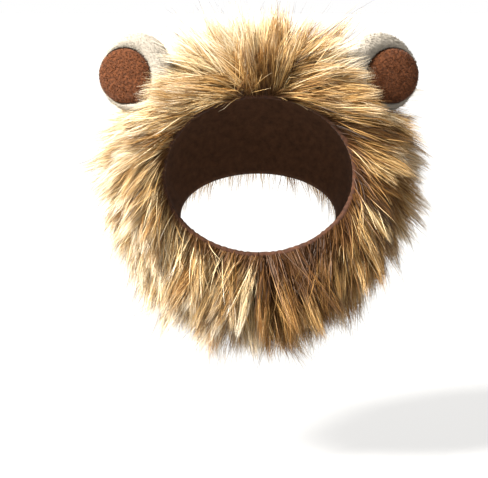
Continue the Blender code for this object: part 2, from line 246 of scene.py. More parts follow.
# Ears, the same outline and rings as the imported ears
EAR_WIDTH = 0.040
EAR_RISE = 0.049
EAR_THICK = 0.011
EAR_FOLD = 0.006
EAR_PAD_WIDTH = 0.030
EAR_PAD_THICK = 0.006
EAR_ANGLE = 47.5
EAR_STATION = 0.17
EAR_YAW = 16.0
EAR_ROLL = 10.0
EAR_OUTLINE = (1.04, 1.04, 1.02, 1.00, 1.00, 1.06, 1.22)
FOLD_AT_TIP = 0.35
EAR_PAD_OFFSET = 0.22
EAR_PAD_SHIFT = 0.09
CUP_RINGS = (
    # pad_share, cup_share, fold_share, depth_share
    (0.60, 0.00, 0.00, 0.25),
    (1.00, 0.00, 0.00, 0.15),
    (0.90, 0.10, 0.70, 0.00),
    (0.50, 0.50, 1.00, 0.00),
    (0.10, 0.90, 0.45, 0.00),
    (0.00, 1.00, 0.00, 0.15),
    (0.00, 0.86, 0.00, 0.58),
    (0.00, 0.50, 0.00, 0.92),
)
PAD_RINGS = (
    # width_share, height_share
    (1.00, 0.36),
    (0.97, 0.60),
    (0.75, 0.86),
    (0.40, 0.98),
)
FLAP_SHARE = 0.25  # share by which the cup is wider toward the crown
PAD_SHARE = 1.03  # the pad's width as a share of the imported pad's
PAD_SQUARE = 1.6  # how square the pad's lower inner corner is
FOLD_LOSS = 0.7  # share of the fold's height that is missing on the outer side
EAR_TURNS = np.linspace(0, math.tau, 72, endpoint=False)
CUP_STEPS = 43
PAD_STEPS = 16
CUP_FILL = 0.7
PAD_FILL = 0.8
EAR_SEED = 50
CUP_FIBRES = (10000, 0.0012, (0, 0.7, 0.3))  # count, length, comb
PAD_FIBRES = (8000, 0.0010, (0, -0.6, 0.2))
PLUSH_WIDTH = 0.00042
PLUSH_PATCH = 0.012
PLUSH_MOTTLE = 0.0024
SPIKE_TONES = (0.3, 0.3, 0.3, 0.98)

# Colours as red, green and blue. Fibres choose one from a row of places and colours.
FUR_ROOTS = ((0.1, (0.150, 0.070, 0.022)), (0.5, (0.075, 0.030, 0.008)), (0.85, (0.034, 0.014, 0.005)))
FUR_MIDDLES = (
    (0.05, (0.670, 0.530, 0.310)),
    (0.35, (0.480, 0.292, 0.104)),
    (0.62, (0.230, 0.102, 0.024)),
    (0.82, (0.090, 0.038, 0.011)),
    (0.95, (0.050, 0.030, 0.019)),
)
FUR_TIPS = (
    (0.05, (0.900, 0.840, 0.710)),
    (0.35, (0.760, 0.610, 0.400)),
    (0.62, (0.450, 0.262, 0.088)),
    (0.82, (0.200, 0.104, 0.034)),
    (0.95, (0.065, 0.046, 0.036)),
)
CREAM = (
    # roots, middles and tips
    ((0.2, (0.26, 0.228, 0.186)), (0.8, (0.23, 0.198, 0.156))),
    ((0.2, (0.29, 0.258, 0.212)), (0.8, (0.26, 0.228, 0.182))),
    ((0.2, (0.33, 0.298, 0.252)), (0.8, (0.30, 0.266, 0.220))),
)
CHESTNUT = (
    ((0.1, (0.120, 0.036, 0.010)), (0.9, (0.030, 0.009, 0.003))),
    ((0.1, (0.185, 0.060, 0.018)), (0.9, (0.050, 0.014, 0.004))),
    ((0.1, (0.290, 0.108, 0.040)), (0.9, (0.075, 0.022, 0.007))),
)
FUR_STEPS = (0.08, 0.42, 0.62, 0.98)  # where a strand's root turns to its middle, and its middle to its tip
HOOD_COLOURS = ((0.055, 0.024, 0.011), (0.125, 0.056, 0.026))  # dark, light
HEM_COLOURS = ((0.022, 0.008, 0.004), (0.085, 0.031, 0.013))
BACKING_COLOURS = ((0.035, 0.016, 0.007), (0.13, 0.062, 0.024))
CUP_COLOURS = ((0.26, 0.231, 0.190), (0.31, 0.277, 0.230))
PAD_COLOURS = ((0.050, 0.016, 0.005), (0.120, 0.038, 0.012))
TAB_COLOURS = ((0.018, 0.011, 0.008), (0.07, 0.042, 0.028))
THREAD = 0.0007
WEAVE_BUMP = 0.0002
WEAVE_SHARE = 0.16  # of the weave in the cloth's colour, beside the cloudy wear
WEAR_SCALE = 260.0
CUP_GRAIN = 0.0012
CUP_BUMP = 0.0002
PAD_GRAIN = 0.0014

# Camera, floor and lights
PHOTO_WIDTH = 488
PHOTO_HEIGHT = 478
PIXEL = 0.00056  # size of a pixel of the photo at the face rim
OPENING_PIXEL = (259, 175)  # middle of the face opening in the photo
CAMERA_DISTANCE = 1.1
CAMERA_RISE = 9.0  # degrees above the horizon
SENSOR = 36.0  # width of the camera's sensor in millimetres
FLOOR_DROP = 0.222  # crown seat down to the floor
FLOOR_SIZE = 6.0
WHITE = (1.0, 1.0, 1.0, 1.0)
FLOOR_SHADE = 0.10
FLOOR_GLOW = 0.50
SURROUNDINGS = 0.48
LIGHTS = (
    # name, place, softness, strength, colour
    ("key", (-0.95, -0.58, 0.95), 12.0, 14.8, (1.0, 0.975, 0.93)),
    ("back", (-0.35, 0.9, 0.75), 22.0, 7.5, (1.0, 0.97, 0.92)),
    ("fill", (0.9, -0.9, 0.2), 35.0, 0.25, (1.0, 1.0, 1.0)),
)


def between(rows, share):
    """Reads a table of evenly spaced rows at shares of its length, along a smooth curve."""
    rows = np.asarray(rows, float)
    share = np.atleast_1d(np.asarray(share, float))
    place = np.clip(share, 0.0, 1.0) * (len(rows) - 1)
    first = np.minimum(place.astype(int), len(rows) - 2)
    u = (place - first)[:, None]
    b, s, e, a = (rows[np.clip(first + k, 0, len(rows) - 1)] for k in (-1, 0, 1, 2))
    return 0.5 * (2 * s + (e - b) * u + (2 * b - 5 * s + 4 * e - a) * u**2 + (3 * s - b - 3 * e + a) * u**3)


def unit(vectors):
    """Vectors brought to length one."""
    return vectors / np.maximum(np.linalg.norm(vectors, axis=-1, keepdims=True), 1e-9)


def section(station):
    """Centre, up direction, half width and half height of the hood's sections at stations."""
    crown_back, crown_down, throat_back, throat_down, half_width = between(HOOD_SECTIONS, station).T
    zero = np.zeros_like(crown_back)
    crown = np.stack((zero, crown_back, -crown_down), 1)
    throat = np.stack((zero, throat_back, -throat_down), 1)
    height = np.linalg.norm(crown - throat, axis=1)
    return (crown + throat) / 2, unit(crown - throat), half_width, height / 2


def crown_seat():
    """The inside top of the hood, which is the origin."""
    centre, up, _, half_height = section(SEAT_STATION)
    return centre[0] + up[0] * half_height[0]


def hood_point(angle, station, offset):
    """Points at angles round the hood, at stations along it, at offsets out from its inside."""
    angle, station, offset = (np.ravel(x) for x in np.broadcast_arrays(angle, station, offset))
    centre, up, half_width, half_height = section(station)
    across = np.zeros_like(centre)
    across[:, 0] = (half_width + offset) * np.sin(angle)
    return centre + across + up * ((half_height + offset) * np.cos(angle))[:, None] - crown_seat()


def edge_angle(gap, station):
    """Angle that half of a gap on the middle line takes up."""
    return np.arcsin(0.5 * gap / section(station)[2])


def tab_lift(angle, station):
    """Height by which the fur backing rides over the chin tab."""
    half_width = section(station)[2]
    beside = np.maximum(0.0, np.abs(half_width * np.sin(angle)) - TAB_WIDTH / 2)
    away = np.maximum(0.0, np.maximum(TAB_START - station, station - TAB_END))
    near = np.maximum(0.0, 1.0 - beside / (0.5 * TAB_WIDTH)) * np.maximum(0.0, 1.0 - away * ROWS / 2)
    return np.where(np.cos(angle) < 0, (TAB_THICK + SEWN_GAP) * np.minimum(1.0, 2 * near), 0.0)


def pile_station(row):
    """Station of a row of the fur, which starts a little behind the face rim."""
    start = MANE_SETBACK / (FACE_REACH + NAPE_REACH)
    return start + (1.0 - start) * row / ROWS


def pile_point(side, column, row, share):
    """Points in the pile at a share of its thickness."""
    column, row, share = (np.ravel(x) for x in np.broadcast_arrays(column, row, share))
    station = pile_station(row)
    first = edge_angle(PARTING, station)
    angle = side * (first + (math.pi - 2 * first) * column / COLUMNS)
    inside = CLOTH + SEWN_GAP + tab_lift(angle, station)
    thick = PILE_EDGE + (PILE_THICK - PILE_EDGE) * np.clip(np.minimum(row, ROWS - row), 0.0, 1.0)
    return hood_point(angle, station, inside + thick * share)


def directions(side, angle, station):
    """Out of the hood, round it toward the chin and back along it, at places on it."""
    here = hood_point(angle, station, CLOTH)
    toward_chin = unit(hood_point(angle + side * NUDGE, station, CLOTH) - here)
    backward = unit(hood_point(angle, station + NUDGE, CLOTH) - hood_point(angle, station - NUDGE, CLOTH))
    return unit(np.cross(toward_chin, backward)) * side, toward_chin, backward


def ear_matrix(side):
    """Place of an ear: local Y up, Z facing, from the middle of its outline."""
    root = pile_point(side, COLUMNS * EAR_ANGLE / 180, ROWS * EAR_STATION, 1.0)[0]
    centre = section(EAR_STATION)[0][0] - crown_seat()
    up = Vector((root[0] - centre[0], 0, root[2] - centre[2])).normalized()
    yaw = math.radians(EAR_YAW)
    facing = Vector((side * math.sin(yaw), -math.cos(yaw), 0))
    up = Matrix.Rotation(math.radians(side * EAR_ROLL), 3, "Y") @ up
    up = (up - facing * up.dot(facing)).normalized()
    middle = Vector(root) + up * (EAR_RISE - EAR_OUTLINE[0] * EAR_WIDTH / 2)
    return Matrix.Translation(middle) @ Matrix((up.cross(facing), up, facing)).transposed().to_4x4()


def clear_of_ear(side, points, margin, in_front):
    """Moves points that lie in an ear's room in front of it or behind it, and says which ones moved."""
    place = np.array(ear_matrix(side))
    turn, origin = place[:3, :3], place[:3, 3]
    local = (points - origin) @ turn
    low = EAR_RISE - EAR_OUTLINE[0] * EAR_WIDTH
    middle = np.array((0, -low / 2, (EAR_FOLD - EAR_THICK) / 2))
    half = np.array((EAR_WIDTH / 2, (EAR_WIDTH + low) / 2, (EAR_THICK + EAR_FOLD) / 2)) * 1.05 + margin
    off = local - middle
    across = (off[..., 0] / half[0]) ** 2 + (off[..., 1] / half[1]) ** 2
    depth = half[2] * np.sqrt(np.clip(1 - across, 0, 1))
    inside = (across < 1.0) & (np.abs(off[..., 2]) < depth)
    off[..., 2] = np.where(inside, np.where(in_front, depth, -depth), off[..., 2])
    return (off + middle) @ turn.T + origin, inside


def waves(rng, x, y, scale):
    """Smooth random field over two coordinates, about -1 to 1, with bumps of a given size."""
    total = np.zeros(np.shape(x))
    for _ in range(6):
        heading = rng.uniform(0, math.tau)
        pitch = rng.uniform(0.6, 1.5) * math.tau / scale
        total += np.sin(pitch * (x * math.cos(heading) + y * math.sin(heading)) + rng.uniform(0, math.tau))
    return total / 3.0


def arc(root, bend, tip, share):
    """Points along curves that start at a root, head for a bend and end at a tip."""
    share = share[..., None]
    return root * (1 - share) ** 2 + bend * 2 * share * (1 - share) + tip * share**2


def combed(side, column, row, turn_extra, lean_extra, length_extra, flip=1.0):
    """Root, bend and tip of locks of fur at places on the pile. A flip of -1 turns them the other way."""
    station = pile_station(row)
    turn_front, turn_behind, round_share, lean_share = between(COMB, column / COLUMNS).T
    lean, along_share = between(NAP, station).T
    blend = np.clip(station / TURN_SPREAD, 0.0, 1.0)
    turn = turn_front + (turn_behind - turn_front) * blend**2 * (3 - 2 * blend) + turn_extra
    turn = np.radians(np.clip(turn * flip, -88, 88))
    lean = np.radians(lean * lean_share + lean_extra)
    out, toward_chin, backward = directions(side, side * math.pi * column / COLUMNS, station)
    swept = out * np.cos(turn)[:, None] + toward_chin * np.sin(turn)[:, None]
    heading = swept * np.cos(lean)[:, None] + backward * np.sin(lean)[:, None]
    length = (LOCK_LENGTH * round_share * along_share * length_extra)[:, None]
    root = pile_point(side, column, row, 0.8)
    return root, root + out * length * LOCK_STIFFNESS, root + heading * length, out


def kept_near(centres, rng):
    """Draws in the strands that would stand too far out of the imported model's box."""
    low, high = (np.array(corner) for corner in cad_box)
    root = centres[:, :1]
    off = centres - root
    room = np.where(off > 0, high + STRAND_ROOM - root, root - low + STRAND_ROOM)
    share = np.min(room / np.maximum(np.abs(off), 1e-6), axis=(1, 2))
    share *= 1 - ROOM_SCATTER * rng.uniform(0, 1, len(share)) ** 2
    return root + off * np.minimum(1.0, share)[:, None, None]


def make_mesh(name, points, faces):
    """Mesh object from points and faces."""
    mesh = bpy.data.meshes.new(name)
    mesh.from_pydata([tuple(p) for p in points], [], faces)
    mesh.validate()
    mesh.shade_smooth()
    obj = bpy.data.objects.new(name, mesh)
    bpy.context.collection.objects.link(obj)
    return obj


def fibre_mesh(name, points, pattern, places):
    """Mesh of like fibres: their points and places on the colour map, fibre by fibre, and one's faces."""
    count, per_fibre = points.shape[:2]
    loops = [corner for face in pattern for corner in face]
    first = np.arange(count)[:, None] * per_fibre
    mesh = bpy.data.meshes.new(name)
    mesh.vertices.add(count * per_fibre)
    mesh.vertices.foreach_set("co", points.astype(np.float32).ravel())
    mesh.loops.add(count * len(loops))
    mesh.loops.foreach_set("vertex_index", (first + np.array(loops)).astype(np.int32).ravel())
    mesh.polygons.add(count * len(pattern))
    totals = np.tile([len(face) for face in pattern], count)
    mesh.polygons.foreach_set("loop_start", (np.cumsum(totals) - totals).astype(np.int32))
    mesh.update()
    layer = mesh.uv_layers.new(name="OFBake")
    layer.uv.foreach_set("vector", np.clip(places[:, loops], 0.001, 0.999).astype(np.float32).ravel())
    mesh.update(calc_edges=True)
    obj = bpy.data.objects.new(name, mesh)
    bpy.context.collection.objects.link(obj)
    return obj


def ribbons(name, centres, widths, reference, palette, tones):
    """Flat tapered strands. centres is strands by levels by 3, and the last level is the point."""
    count, levels = centres.shape[:2]
    tangent = np.gradient(centres, axis=1)
    across = unit(np.cross(tangent, reference[:, None, :]))
    half = across[:, :-1] * (0.5 * widths)[..., None]
    sides = np.stack((centres[:, :-1] - half, centres[:, :-1] + half), 2).reshape(count, -1, 3)
    points = np.concatenate((sides, centres[:, -1:]), 1)
    pattern = [(2 * k, 2 * k + 1, 2 * k + 3, 2 * k + 2) for k in range(levels - 2)]
    pattern.append((2 * levels - 4, 2 * levels - 3, 2 * levels - 2))
    u = np.concatenate([np.stack((palette - PALETTE_STEP, palette + PALETTE_STEP), 1)] * (levels - 1), 1)
    u = np.concatenate((u, palette[:, None]), 1)
    v = np.concatenate((np.repeat(tones[:, :-1], 2, axis=1), tones[:, -1:]), 1)
    return fibre_mesh(name, points, pattern, np.stack((u, v), 2))


def spikes(name, roots, tips, widths, reference, palette):
    """Short three-sided fibres."""
    along = unit(tips - roots)
    across = unit(np.cross(along, reference))
    over = np.cross(along, across)
    corners = [
        roots + 0.5 * widths[:, None] * (across * math.cos(turn) + over * math.sin(turn))
        for turn in (0, math.tau / 3, 2 * math.tau / 3)
    ]
    points = np.stack((*corners, tips), 1)
    u = np.stack((palette - PALETTE_STEP, palette, palette + PALETTE_STEP, palette), 1)
    v = np.tile(SPIKE_TONES, (len(roots), 1))
    return fibre_mesh(name, points, [(0, 1, 3), (1, 2, 3), (2, 0, 3)], np.stack((u, v), 2))


def tuft_colours(side, x, y, row, whorl, rng):
    """Colour and shade of tufts at shares of the way to the chin and to the neck rim, with painted light and
    shade in them.
    """
    # painted light: the darker band beside the face opening is weaker on the lit left cheek
    lit_cheek = min(side, 0) * np.clip((x - 0.2) / 0.2, 0, 1)
    near = np.exp(-((row / DARK_ROWS) ** 2)) * (1 + PAINTED_LIGHT_LEFT_CHEEK * lit_cheek)
    # painted light: paler over the crown, the top of the wig
    crown = np.exp(-((x / 0.25) ** 2)) * (1 - near)
    behind = np.clip((row - BACK_ROW) / BACK_BLEND, 0, 1)
    # painted light and shade: the side term makes the left paler and the right darker
    colour = COLOUR_BASE + PAINTED_SHADE_CHIN_COLOUR * x + PAINTED_LIGHT_SIDE_COLOUR * side
    colour += (COLOUR_RIM - COLOUR_RIM_CHIN * x) * near - PAINTED_LIGHT_CROWN * crown
    # painted light: the side term is weaker behind
    colour += COLOUR_WHORL * whorl + (COLOUR_BACK - PAINTED_LIGHT_SIDE_BACK_COLOUR * side) * behind
    colour += COLOUR_WAVE * waves(rng, x, y, 0.16) + rng.normal(0, COLOUR_SCATTER, len(x))
    # painted shade: tufts toward the chin turn pale later along their length
    shade = SHADE_BASE - PAINTED_SHADE_CHIN_TONE * x - PAINTED_LIGHT_SIDE_TONE * side - (SHADE_RIM + SHADE_RIM_CHIN * x) * near
    shade += SHADE_WAVE * waves(rng, x, y, 0.13)
    shade += rng.normal(0, SHADE_SCATTER, len(x)) + (PAINTED_LIGHT_SIDE_BACK_TONE * side - SHADE_BACK) * behind
    return colour, shade


def grow_tufts(side, rng):
    """Roots, bends and tips of all tufts on one side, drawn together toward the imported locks."""
    columns = round(HALF_ROUND / TUFT_SPACING)
    rows = round(FUR_REACH / TUFT_SPACING)
    grid = np.stack(np.meshgrid(np.arange(columns), np.arange(rows)), -1).reshape(-1, 2)
    grid = grid + rng.uniform(0.0, 1.0, grid.shape)
    column, row = grid[:, 0] * COLUMNS / columns, grid[:, 1] * ROWS / rows
    x, y = column / COLUMNS, row / ROWS
    low = np.clip((column - CHIN_COLUMN) / 4, 0, 1)
    fan = CHIN_FAN * low * np.exp(-((row / CHIN_ROWS) ** 2)) * (0.7 + 0.9 * waves(rng, x, y, 0.12))
    hang = HANG_TURN * np.exp(-(((column - HANG_COLUMN) / HANG_WIDTH) ** 2)) * np.clip(1.4 - row / 5, 0, 1)
    turn = hang - fan + (TURN_WAVE + CHIN_TURN_WAVE * low) * waves(rng, x, y, 0.16)
    turn += rng.normal(0, 1, len(x)) * (TURN_SCATTER + CHIN_TURN_SCATTER * low)
    whorl = np.exp(-((x / WHORL_WIDTH) ** 2) - ((row - WHORL_ROW) / WHORL_ROWS) ** 2)
    lean = LEAN_WAVE * waves(rng, x, y, 0.22) + rng.normal(0, LEAN_SCATTER, len(x)) + WHORL_LEAN * whorl
    length = TUFT_LENGTH - CROWN_TRIM * np.exp(-((column / CROWN_WIDTH) ** 2))
    length += LENGTH_WAVE * waves(rng, x, y, 0.14) + rng.uniform(*LENGTH_SCATTER, len(x))
    shoulder = np.exp(-(((column - SHOULDER_COLUMN) / SHOULDER_WIDTH) ** 2))
    length += SHOULDER_LENGTH * shoulder + CHIN_LENGTH * low
    length *= np.where(rng.uniform(0, 1, len(x)) < SPIKE_SHARE, rng.uniform(*SPIKE_LENGTH, len(x)), 1.0)
    flip = np.where(column < PARTING_OVERLAP, rng.uniform(*PARTING_FLIP, len(x)), 1.0)
    root, bend, tip, out = combed(side, column, row, turn, lean, length, flip)
    lock_column, lock_row = np.floor(column) + 0.5, np.floor(row) + 0.5
    zero = np.zeros(len(x))
    lock_root, lock_bend, lock_tip, _ = combed(side, lock_column, lock_row, zero, zero, zero + 1)
    pull = (rng.uniform(*LOCK_PULL, len(x)) * np.clip(0.4 + row / 2, 0, 1) * (flip == 1))[:, None]
    off = root - lock_root
    bend += (lock_bend + off - bend) * pull * 0.6
    tip += (lock_tip + LOCK_OFF * off - tip) * pull
    colour, shade = tuft_colours(side, x, y, row, whorl, rng)
    return {
        "column": column, "row": row, "root": root, "bend": bend, "tip": tip, "out": out,
        "colour": colour, "shade": shade, "tight": rng.uniform(*TUFT_TIGHT, len(x)),
    }


def over_ear(side, points):
    """Says which points lie in front of the part of an ear that shows."""
    place = np.array(ear_matrix(side))
    local = (points - place[:3, 3]) @ place[:3, :3]
    low = EAR_RISE - EAR_OUTLINE[0] * EAR_WIDTH
    half_width, half_height = EAR_WIDTH / 2 * 1.15, (EAR_WIDTH + low) / 2 * 1.08
    away = side * local[..., 0]
    across = ((away + EAR_SHOWN_SHIFT) / half_width) ** 2 + ((local[..., 1] + low / 2) / half_height) ** 2
    covered = EAR_COVERED - away * 0.35
    return (across < 1.0) & (local[..., 1] > covered) & (local[..., 2] > -EAR_THICK)


def over_face(points):
    """Says which points lie in or before the face opening, clear of its rim."""
    centre, _, half_width, half_height = section(0.0)
    low = centre[0] - crown_seat()
    across = (points[..., 0] / (half_width[0] - RIM_LAP)) ** 2
    across += ((points[..., 2] - low[2]) / (half_height[0] - RIM_LAP)) ** 2
    return (across < 1.0) & (points[..., 1] < low[1] + FACE_ROOM)


def grow_strands(name, side, tufts, first_row, last_row, count, rng):
    """One band of strands of fur, each in a tuft."""
    pool = np.flatnonzero((tufts["row"] >= first_row) & (tufts["row"] < last_row))
    owner = rng.choice(pool, count)
    spread = TUFT_SPACING * 0.62
    column_step = COLUMNS * spread / HALF_ROUND
    row_step = ROWS * spread / FUR_REACH
    column = np.clip(tufts["column"][owner] + rng.normal(0, column_step, count), 0.02, COLUMNS - 0.02)
    row = np.clip(tufts["row"][owner] + rng.normal(0, row_step, count), 0.02, ROWS - 0.02)
    root = pile_point(side, column, row, 0.6)
    return dress(name, side, tufts, owner, root, rng, flat=0.35 * np.clip(1.5 - row, 0, 1)[:, None])


def grow_rim(name, side, tufts, rng):
    """Strands that start on the front of the hem and lie over it."""
    pool = np.flatnonzero(tufts["row"] < 0.7)
    column = np.clip(np.sort(rng.uniform(-0.1, COLUMNS + 0.1, RIM_STRANDS)), 0.0, COLUMNS)
    away = tufts["column"][pool][None] - column[:, None] + rng.normal(0, 0.3, (RIM_STRANDS, 1))
    nearest = np.argmin(np.abs(away), 1)
    angle = side * math.pi * column / COLUMNS
    outward = rng.uniform(RIM_INNER, 0.5 * BINDING_THICK, RIM_STRANDS)
    root = hood_point(angle, 0.0, CLOTH / 2 + outward)
    bulge = np.sqrt(np.maximum((BINDING_THICK / 2) ** 2 - outward**2, 0.0))
    root[:, 1] -= BINDING_THICK / 2 + SEWN_GAP + bulge * 0.8
    return dress(name, side, tufts, pool[nearest], root, rng, flat=0.75, lift=0.03)


def dress(name, side, tufts, owner, root, rng, flat=0.0, lift=0.0):
    """Strands from given roots, drawn into the tufts that own them. flat lays them down, lift pales them."""
    count = len(owner)
    off = root - tufts["root"][owner]
    flyaway = rng.uniform(0, 1, count) < FLYAWAY_SHARE
    guard = rng.uniform(0, 1, count) < GUARD_SHARE
    length = np.linalg.norm(tufts["tip"][owner] - tufts["root"][owner], axis=1)
    airy = np.exp(-((tufts["column"][owner] / 6) ** 2))
    tight = np.where(flyaway, FLYAWAY_TIGHT, tufts["tight"][owner] + 0.25 * airy)[:, None]
    loose = (length * np.where(flyaway, 0.15, 0.045 + 0.03 * airy))[:, None]
    reach = 1.0 - SHORTEST_LOSS * rng.uniform(0, 1, count) ** 1.5
    splay = np.where(flyaway, 1.0, 0.35 + 2.2 * (1 - reach))[:, None]
    reach = np.where(guard, rng.uniform(*GUARD_LENGTH, count), reach)
    bend = tufts["bend"][owner] + off * 1.15 + rng.normal(0, 0.35, (count, 3)) * loose
    tip = tufts["tip"][owner] + (off * 1.5 * tight + rng.normal(0, 1, (count, 3)) * loose) * splay
    bend += (root + (tip - root) * LOCK_STIFFNESS - bend) * flat
    centres = arc(root[:, None], bend[:, None], tip[:, None], reach[:, None] * STRAND_LEVELS[None])
    wave = rng.normal(0, 1, (count, 1, 3)) * np.sin(
        STRAND_LEVELS[None, :, None] * rng.uniform(3, 8, (count, 1, 1)) + rng.uniform(0, 6, (count, 1, 1))
    )
    centres += wave * (STRAND_WAVE * length)[:, None, None] * STRAND_LEVELS[None, :, None]
    in_front = (pile_station(tufts["row"][owner]) < 0.6 * EAR_STATION)[:, None]
    free = centres
    centres, hidden = clear_of_ear(side, free, 0.0004, in_front)
    pushed = np.max(np.linalg.norm(centres - free, axis=2), axis=1)
    centres = kept_near(centres, rng)
    keep = (pushed < EAR_PUSH) & ~hidden[:, 1] & ~clear_of_ear(side, root, 0.0, True)[1]
    keep &= ~np.any(over_ear(side, centres), axis=1) | (rng.uniform(0, 1, count) < EAR_STRAYS)
    keep &= ~np.any(over_face(centres[:, 1:]), axis=1)
    reference = tufts["out"][owner] * 0.9 + unit(rng.normal(0, 1, (count, 3)))
    thin = np.where(guard, GUARD_THIN, rng.uniform(*STRAND_THIN, count))
    widths = STRAND_WIDTH * thin[:, None] * STRAND_WIDTHS[None]
    palette = tufts["colour"][owner] + rng.normal(0, STRAND_COLOUR_SCATTER, count)
    palette = np.where(guard, rng.uniform(*GUARD_COLOURS, count), palette * STRAND_COLOUR_SHARE)
    palette = np.clip(palette, 0.02, 0.98)
    start = rng.uniform(*TONE_START, count) + tufts["shade"][owner] + lift
    tones = start[:, None] + STRAND_LEVELS[None] * (reach * rng.uniform(*TONE_REACH, count))[:, None]
    return ribbons(name, centres[keep], widths[keep], reference[keep], palette[keep], tones[keep])


def set_inputs(node, values):
    """Sets values on a node's inputs."""
    for name, value in values.items():
        node.inputs[name].default_value = value


def smooth_step(nodes, links, value, low, high):
    """Node output that rises smoothly from 0 to 1 between two values."""
    step = nodes.new("ShaderNodeMapRange")
    step.interpolation_type = "SMOOTHSTEP"
    set_inputs(step, {"From Min": low, "From Max": high})
    links.new(value, step.inputs["Value"])
    return step.outputs["Result"]


def ramp(nodes, links, value, colours):
    """Node output that runs through colours, given as (place, (red, green, blue))."""
    node = nodes.new("ShaderNodeValToRGB")
    while len(node.color_ramp.elements) > 1:
        node.color_ramp.elements.remove(node.color_ramp.elements[-1])
    for index, (place, colour) in enumerate(colours):
        element = node.color_ramp.elements[0] if index == 0 else node.color_ramp.elements.new(place)
        element.position = place
        element.color = (*colour, 1.0)
    links.new(value, node.inputs["Fac"])
    return node.outputs["Color"]


def mixed(nodes, links, share, first, second):
    """Node output that goes from one colour to another."""
    node = nodes.new("ShaderNodeMix")
    node.data_type = "RGBA"
    links.new(share, node.inputs["Factor"])
    links.new(first, node.inputs["A"])
    links.new(second, node.inputs["B"])
    return node.outputs["Result"]


def new_material(name, roughness, sheen=0.0, specular=0.5):
    """Material with a Principled shader, and its nodes, links and shader."""
    material = bpy.data.materials.new(name)
    material.use_nodes = True
    nodes, links = material.node_tree.nodes, material.node_tree.links
    shader = nodes["Principled BSDF"]
    set_inputs(shader, {"Roughness": roughness, "Specular IOR Level": specular})
    set_inputs(shader, {"Sheen Weight": sheen, "Sheen Roughness": 0.5})
    return material, nodes, links, shader


def strand_material(name, roots, middles, tips, roughness):
    """Fibres whose colour runs from root to tip, chosen for each fibre from a row of colours."""
    material, nodes, links, shader = new_material(name, roughness, specular=0.15)
    place = nodes.new("ShaderNodeUVMap")
    place.uv_map = "OFBake"
    split = nodes.new("ShaderNodeSeparateXYZ")
    links.new(place.outputs["UV"], split.inputs["Vector"])
    choice, along = split.outputs["X"], split.outputs["Y"]
    low = mixed(
        nodes, links, smooth_step(nodes, links, along, *FUR_STEPS[:2]),
        ramp(nodes, links, choice, roots), ramp(nodes, links, choice, middles),
    )
    above = smooth_step(nodes, links, along, *FUR_STEPS[2:])
    whole = mixed(nodes, links, above, low, ramp(nodes, links, choice, tips))
    links.new(whole, shader.inputs["Base Color"])
    return material


def finish_surface(nodes, links, shader, height, colours, strength, bump):
    """Colours a surface by its height and lets the light see that height."""
    links.new(ramp(nodes, links, height, colours), shader.inputs["Base Color"])
    lift = nodes.new("ShaderNodeBump")
    set_inputs(lift, {"Strength": strength, "Distance": bump})
    links.new(height, lift.inputs["Height"])
    links.new(lift.outputs["Normal"], shader.inputs["Normal"])


def cloth_material(name, dark, light, roughness):
    """Woven or knitted cloth: two crossed waves of threads, with cloudy wear."""
    material, nodes, links, shader = new_material(name, roughness, sheen=0.03, specular=0.2)
    place = nodes.new("ShaderNodeTexCoord").outputs["Object"]
    heights = []
    for direction in ("X", "Z"):
        wave = nodes.new("ShaderNodeTexWave")
        wave.bands_direction = direction
        set_inputs(wave, {"Scale": 1.0 / THREAD / 3.2, "Distortion": 2.0})
        set_inputs(wave, {"Detail": 2.0, "Detail Scale": 1.5})
        links.new(place, wave.inputs["Vector"])
        heights.append(wave.outputs["Fac"])
    weave = nodes.new("ShaderNodeMath")
    weave.operation = "MULTIPLY"
    links.new(heights[0], weave.inputs[0])
    links.new(heights[1], weave.inputs[1])
    cloud = nodes.new("ShaderNodeTexNoise")
    set_inputs(cloud, {"Scale": WEAR_SCALE, "Detail": 8.0, "Roughness": 0.7})
    links.new(place, cloud.inputs["Vector"])
    shade = nodes.new("ShaderNodeMath")
    shade.operation = "MULTIPLY_ADD"
    shade.inputs[1].default_value = WEAVE_SHARE
    links.new(weave.outputs[0], shade.inputs[0])
    links.new(cloud.outputs["Fac"], shade.inputs[2])
    finish_surface(nodes, links, shader, shade.outputs[0], ((0.36, dark), (0.78, light)), 0.8, WEAVE_BUMP)
    return material


def fleece_material(name, dark, light, roughness, grain=0.00045, bump=0.0008):
    """Short dense pile seen between fibres."""
    material, nodes, links, shader = new_material(name, roughness, sheen=0.08, specular=0.2)
    place = nodes.new("ShaderNodeTexCoord").outputs["Object"]
    tufts = nodes.new("ShaderNodeTexNoise")
    set_inputs(tufts, {"Scale": 1.0 / grain, "Detail": 4.0})
    links.new(place, tufts.inputs["Vector"])
    finish_surface(nodes, links, shader, tufts.outputs["Fac"], ((0.35, dark), (0.65, light)), 0.9, bump)
    return material


def thick_grid(name, inner, outer):
    """Closed body between two grids of points, rows by columns by 3."""
    rows, columns = inner.shape[:2]
    count = rows * columns
    points = np.concatenate((inner.reshape(-1, 3), outer.reshape(-1, 3)))
    index = np.arange(count).reshape(rows, columns)
    faces = []
    for i in range(rows - 1):
        for j in range(columns - 1):
            quad = (index[i, j], index[i, j + 1], index[i + 1, j + 1], index[i + 1, j])
            faces.append(tuple(int(k) for k in quad[::-1]))
            faces.append(tuple(int(k) + count for k in quad))
    border = [index[0, j] for j in range(columns)] + [index[i, -1] for i in range(1, rows)]
    border += [index[-1, j] for j in range(columns - 2, -1, -1)]
    border += [index[i, 0] for i in range(rows - 2, 0, -1)]
    for a, b in zip(border, border[1:] + border[:1]):
        faces.append((int(a), int(b), int(b) + count, int(a) + count))
    return make_mesh(name, points, faces)


